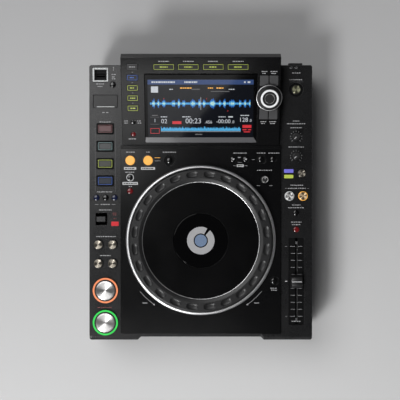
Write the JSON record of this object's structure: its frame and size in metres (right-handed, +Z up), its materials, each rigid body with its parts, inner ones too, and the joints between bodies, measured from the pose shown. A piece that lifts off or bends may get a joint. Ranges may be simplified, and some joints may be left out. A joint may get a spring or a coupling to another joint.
{
  "type": "tabletop dj cd player",
  "caption": "Flat tabletop disc player for DJs with a jog wheel of finger dimples, a tilted touch screen, a slot for discs and columns of keys.",
  "frame": {"origin": "on the table, under the middle of the machine's overall box", "axes": "+Z up, +Y from the user's side to the rear, +X to the user's right"},
  "size_m": [0.32, 0.4053, 0.1199],
  "materials": {
    "case_plastic": "fine moulded grain, dark grey",
    "deck_gloss": "smooth satin black",
    "hood_gloss": "gloss black",
    "screen_glass": "clear tinted glass over black",
    "sheet_steel": "dark coated sheet steel",
    "bare_steel": "bare pressed steel",
    "turned_metal": "turned, with fine round tool lines",
    "polished_metal": "polished",
    "jog_plastic": "soft dark grey",
    "plate_black": "deep black satin",
    "key_black": "satin black",
    "key_amber": "lit amber lens",
    "pad_rubber": "grey pad in a lit frame",
    "frame_white": "white light frame",
    "socket_black": "moulded black",
    "board_green": "green lacquered board",
    "roller_rubber": "matt black rubber"
  },
  "bodies": {
    "housing": {"bottom_tray": "sheet_steel", "upper_case": "case_plastic", "deck_panel": "deck_gloss", "display_hood": "hood_gloss", "screen_glass": "screen_glass", "lcd_module": "sheet_steel", "rear_panel": "sheet_steel", "power_inlet": "socket_black", "audio_sockets": "socket_black", "data_sockets": "bare_steel", "usb_port": "frame_white", "card_slot": "socket_black", "main_board": "board_green", "power_board": "board_green", "drive_chassis": "bare_steel", "drive_cover": "bare_steel", "slot_bezel": "deck_gloss", "jog_trim_ring": "polished_metal", "jog_pillar": "socket_black", "jog_lens": "screen_glass", "fader_body": "sheet_steel"},
    "bank_keys": {"bank_keys": "key_black"},
    "beat_slip_keys": {"beat_slip_keys": "key_black"},
    "beat_sync_button": {"beat_sync_button": "turned_metal"},
    "browse_keys": {"browse_keys": "key_black"},
    "call_keys": {"call_keys": "key_black"},
    "card_door": {"card_door": "case_plastic"},
    "cue_button": {"cue_button": "turned_metal"},
    "direction_lever": {"direction_lever": "key_black"},
    "drive_spindle": {"drive_spindle": "socket_black"},
    "eject_button": {"eject_button": "key_black"},
    "fader_knob": {"fader_knob": "key_black"},
    "hot_cue_1": {"hot_cue_1": "pad_rubber"},
    "hot_cue_2": {"hot_cue_2": "pad_rubber"},
    "hot_cue_3": {"hot_cue_3": "pad_rubber"},
    "hot_cue_4": {"hot_cue_4": "pad_rubber"},
    "jog_adjust_knob": {"jog_adjust_knob": "jog_plastic"},
    "jog_mode_button": {"jog_mode_button": "key_black"},
    "jog_plate": {"jog_plate": "plate_black"},
    "jog_wheel": {"jog_wheel": "jog_plastic"},
    "loading_roller": {"loading_roller": "roller_rubber"},
    "loop_in_button": {"loop_in_button": "key_amber"},
    "loop_out_button": {"loop_out_button": "key_amber"},
    "navigation_keys": {"navigation_keys": "key_black"},
    "play_button": {"play_button": "turned_metal"},
    "power_button": {"power_button": "key_black"},
    "release_start_knob": {"release_start_knob": "jog_plastic"},
    "reloop_button": {"reloop_button": "key_black"},
    "search_back_button": {"search_back_button": "turned_metal"},
    "search_forward_button": {"search_forward_button": "turned_metal"},
    "selector_knob": {"selector_knob": "turned_metal"},
    "selector_shaft": {"selector_shaft": "bare_steel"},
    "source_keys": {"source_keys": "key_black"},
    "sync_master_button": {"sync_master_button": "turned_metal"},
    "tempo_keys": {"tempo_keys": "key_black"},
    "tempo_reset_button": {"tempo_reset_button": "key_black"},
    "touch_brake_knob": {"touch_brake_knob": "jog_plastic"},
    "track_back_button": {"track_back_button": "turned_metal"},
    "track_next_button": {"track_next_button": "turned_metal"},
    "usb_stop_button": {"usb_stop_button": "key_black"}
  },
  "joints": [
    {"name": "jog_wheel_turn", "type": "hinge", "parent": "housing", "child": "jog_wheel", "pos_m": [0, -0.05951, 0.0859], "axis": [0, 0, 1], "continuous": true},
    {"name": "jog_plate_press", "type": "slide", "parent": "jog_wheel", "child": "jog_plate", "axis": [0, 0, -1], "range_m": [0, 0.0005], "stiffness_N_per_m": 1500, "springref_m": -0.003},
    {"name": "drive_spindle_turn", "type": "hinge", "parent": "housing", "child": "drive_spindle", "pos_m": [0, -0.1178, 0.0456], "axis": [0, 0, 1], "continuous": true},
    {"name": "loading_roller_turn", "type": "hinge", "parent": "housing", "child": "loading_roller", "pos_m": [0, -0.1819, 0.0438], "axis": [1, 0, 0], "continuous": true},
    {"name": "tempo_fader_slide", "type": "slide", "parent": "housing", "child": "fader_knob", "axis": [0, 1, 0], "range_m": [-0.05, 0.05]},
    {"name": "selector_shaft_press", "type": "slide", "parent": "housing", "child": "selector_shaft", "axis": [0, 0.2592, -0.9658], "range_m": [0, 0.0006], "stiffness_N_per_m": 600, "springref_m": -0.003},
    {"name": "selector_knob_turn", "type": "hinge", "parent": "selector_shaft", "child": "selector_knob", "pos_m": [0.0959, 0.14208, 0.1037], "axis": [0, -0.2592, 0.9658], "continuous": true},
    {"name": "touch_brake_knob_turn", "type": "hinge", "parent": "housing", "child": "touch_brake_knob", "pos_m": [0.1367, 0.08839, 0.084], "axis": [0, 0, 1], "range_deg": [-270, 0]},
    {"name": "release_start_knob_turn", "type": "hinge", "parent": "housing", "child": "release_start_knob", "pos_m": [0.1367, 0.06082, 0.084], "axis": [0, 0, 1], "range_deg": [-270, 0]},
    {"name": "jog_adjust_knob_turn", "type": "hinge", "parent": "housing", "child": "jog_adjust_knob", "pos_m": [0.0913, 0.02702, 0.087], "axis": [0, 0, 1], "range_deg": [-135, 135]},
    {"name": "direction_lever_rock", "type": "hinge", "parent": "housing", "child": "direction_lever", "pos_m": [-0.1425, -0.02918, 0.0715], "axis": [1, 0, 0], "range_deg": [-12, 12]},
    {"name": "card_door_swing", "type": "hinge", "parent": "housing", "child": "card_door", "pos_m": [-0.1368, 0.14716, 0.0786], "axis": [-1, 0, 0], "range_deg": [0, 90]},
    {"name": "power_button_press", "type": "slide", "parent": "housing", "child": "power_button", "axis": [0, -1, 0], "range_m": [0, 0.0015], "stiffness_N_per_m": 300, "springref_m": -0.003},
    {"name": "bank_keys_press", "type": "slide", "parent": "housing", "child": "bank_keys", "axis": [0, 0, -1], "range_m": [0, 0.0006], "stiffness_N_per_m": 300, "springref_m": -0.003},
    {"name": "beat_slip_keys_press", "type": "slide", "parent": "housing", "child": "beat_slip_keys", "axis": [0, 0, -1], "range_m": [0, 0.0006], "stiffness_N_per_m": 300, "springref_m": -0.003},
    {"name": "beat_sync_button_press", "type": "slide", "parent": "housing", "child": "beat_sync_button", "axis": [0, 0, -1], "range_m": [0, 0.0006], "stiffness_N_per_m": 300, "springref_m": -0.003},
    {"name": "browse_keys_press", "type": "slide", "parent": "housing", "child": "browse_keys", "axis": [0, 0.2592, -0.9658], "range_m": [0, 0.0005], "stiffness_N_per_m": 300, "springref_m": -0.003},
    {"name": "call_keys_press", "type": "slide", "parent": "housing", "child": "call_keys", "axis": [0, 0, -1], "range_m": [0, 0.0006], "stiffness_N_per_m": 300, "springref_m": -0.003},
    {"name": "cue_button_press", "type": "slide", "parent": "housing", "child": "cue_button", "axis": [0, 0, -1], "range_m": [0, 0.0006], "stiffness_N_per_m": 500, "springref_m": -0.003},
    {"name": "eject_button_press", "type": "slide", "parent": "housing", "child": "eject_button", "axis": [0, 0, -1], "range_m": [0, 0.0006], "stiffness_N_per_m": 300, "springref_m": -0.003},
    {"name": "hot_cue_1_press", "type": "slide", "parent": "housing", "child": "hot_cue_1", "axis": [0, 0, -1], "range_m": [0, 0.0006], "stiffness_N_per_m": 300, "springref_m": -0.003},
    {"name": "hot_cue_2_press", "type": "slide", "parent": "housing", "child": "hot_cue_2", "axis": [0, 0, -1], "range_m": [0, 0.0006], "stiffness_N_per_m": 300, "springref_m": -0.003},
    {"name": "hot_cue_3_press", "type": "slide", "parent": "housing", "child": "hot_cue_3", "axis": [0, 0, -1], "range_m": [0, 0.0006], "stiffness_N_per_m": 300, "springref_m": -0.003},
    {"name": "hot_cue_4_press", "type": "slide", "parent": "housing", "child": "hot_cue_4", "axis": [0, 0, -1], "range_m": [0, 0.0006], "stiffness_N_per_m": 300, "springref_m": -0.003},
    {"name": "jog_mode_button_press", "type": "slide", "parent": "housing", "child": "jog_mode_button", "axis": [0, 0, -1], "range_m": [0, 0.0006], "stiffness_N_per_m": 300, "springref_m": -0.003},
    {"name": "loop_in_button_press", "type": "slide", "parent": "housing", "child": "loop_in_button", "axis": [0, 0, -1], "range_m": [0, 0.0006], "stiffness_N_per_m": 300, "springref_m": -0.003},
    {"name": "loop_out_button_press", "type": "slide", "parent": "housing", "child": "loop_out_button", "axis": [0, 0, -1], "range_m": [0, 0.0006], "stiffness_N_per_m": 300, "springref_m": -0.003},
    {"name": "navigation_keys_press", "type": "slide", "parent": "housing", "child": "navigation_keys", "axis": [0, 0.2592, -0.9658], "range_m": [0, 0.0005], "stiffness_N_per_m": 300, "springref_m": -0.003},
    {"name": "play_button_press", "type": "slide", "parent": "housing", "child": "play_button", "axis": [0, 0, -1], "range_m": [0, 0.0006], "stiffness_N_per_m": 500, "springref_m": -0.003},
    {"name": "reloop_button_press", "type": "slide", "parent": "housing", "child": "reloop_button", "axis": [0, 0, -1], "range_m": [0, 0.0006], "stiffness_N_per_m": 300, "springref_m": -0.003},
    {"name": "search_back_button_press", "type": "slide", "parent": "housing", "child": "search_back_button", "axis": [0, 0, -1], "range_m": [0, 0.0006], "stiffness_N_per_m": 300, "springref_m": -0.003},
    {"name": "search_forward_button_press", "type": "slide", "parent": "housing", "child": "search_forward_button", "axis": [0, 0, -1], "range_m": [0, 0.0006], "stiffness_N_per_m": 300, "springref_m": -0.003},
    {"name": "source_keys_press", "type": "slide", "parent": "housing", "child": "source_keys", "axis": [0, 0.2592, -0.9658], "range_m": [0, 0.0005], "stiffness_N_per_m": 300, "springref_m": -0.003},
    {"name": "sync_master_button_press", "type": "slide", "parent": "housing", "child": "sync_master_button", "axis": [0, 0, -1], "range_m": [0, 0.0006], "stiffness_N_per_m": 300, "springref_m": -0.003},
    {"name": "tempo_keys_press", "type": "slide", "parent": "housing", "child": "tempo_keys", "axis": [0, 0, -1], "range_m": [0, 0.0006], "stiffness_N_per_m": 300, "springref_m": -0.003},
    {"name": "tempo_reset_button_press", "type": "slide", "parent": "housing", "child": "tempo_reset_button", "axis": [0, 0, -1], "range_m": [0, 0.0006], "stiffness_N_per_m": 300, "springref_m": -0.003},
    {"name": "track_back_button_press", "type": "slide", "parent": "housing", "child": "track_back_button", "axis": [0, 0, -1], "range_m": [0, 0.0006], "stiffness_N_per_m": 300, "springref_m": -0.003},
    {"name": "track_next_button_press", "type": "slide", "parent": "housing", "child": "track_next_button", "axis": [0, 0, -1], "range_m": [0, 0.0006], "stiffness_N_per_m": 300, "springref_m": -0.003},
    {"name": "usb_stop_button_press", "type": "slide", "parent": "housing", "child": "usb_stop_button", "axis": [0, 0, -1], "range_m": [0, 0.0006], "stiffness_N_per_m": 300, "springref_m": -0.003}
  ]
}
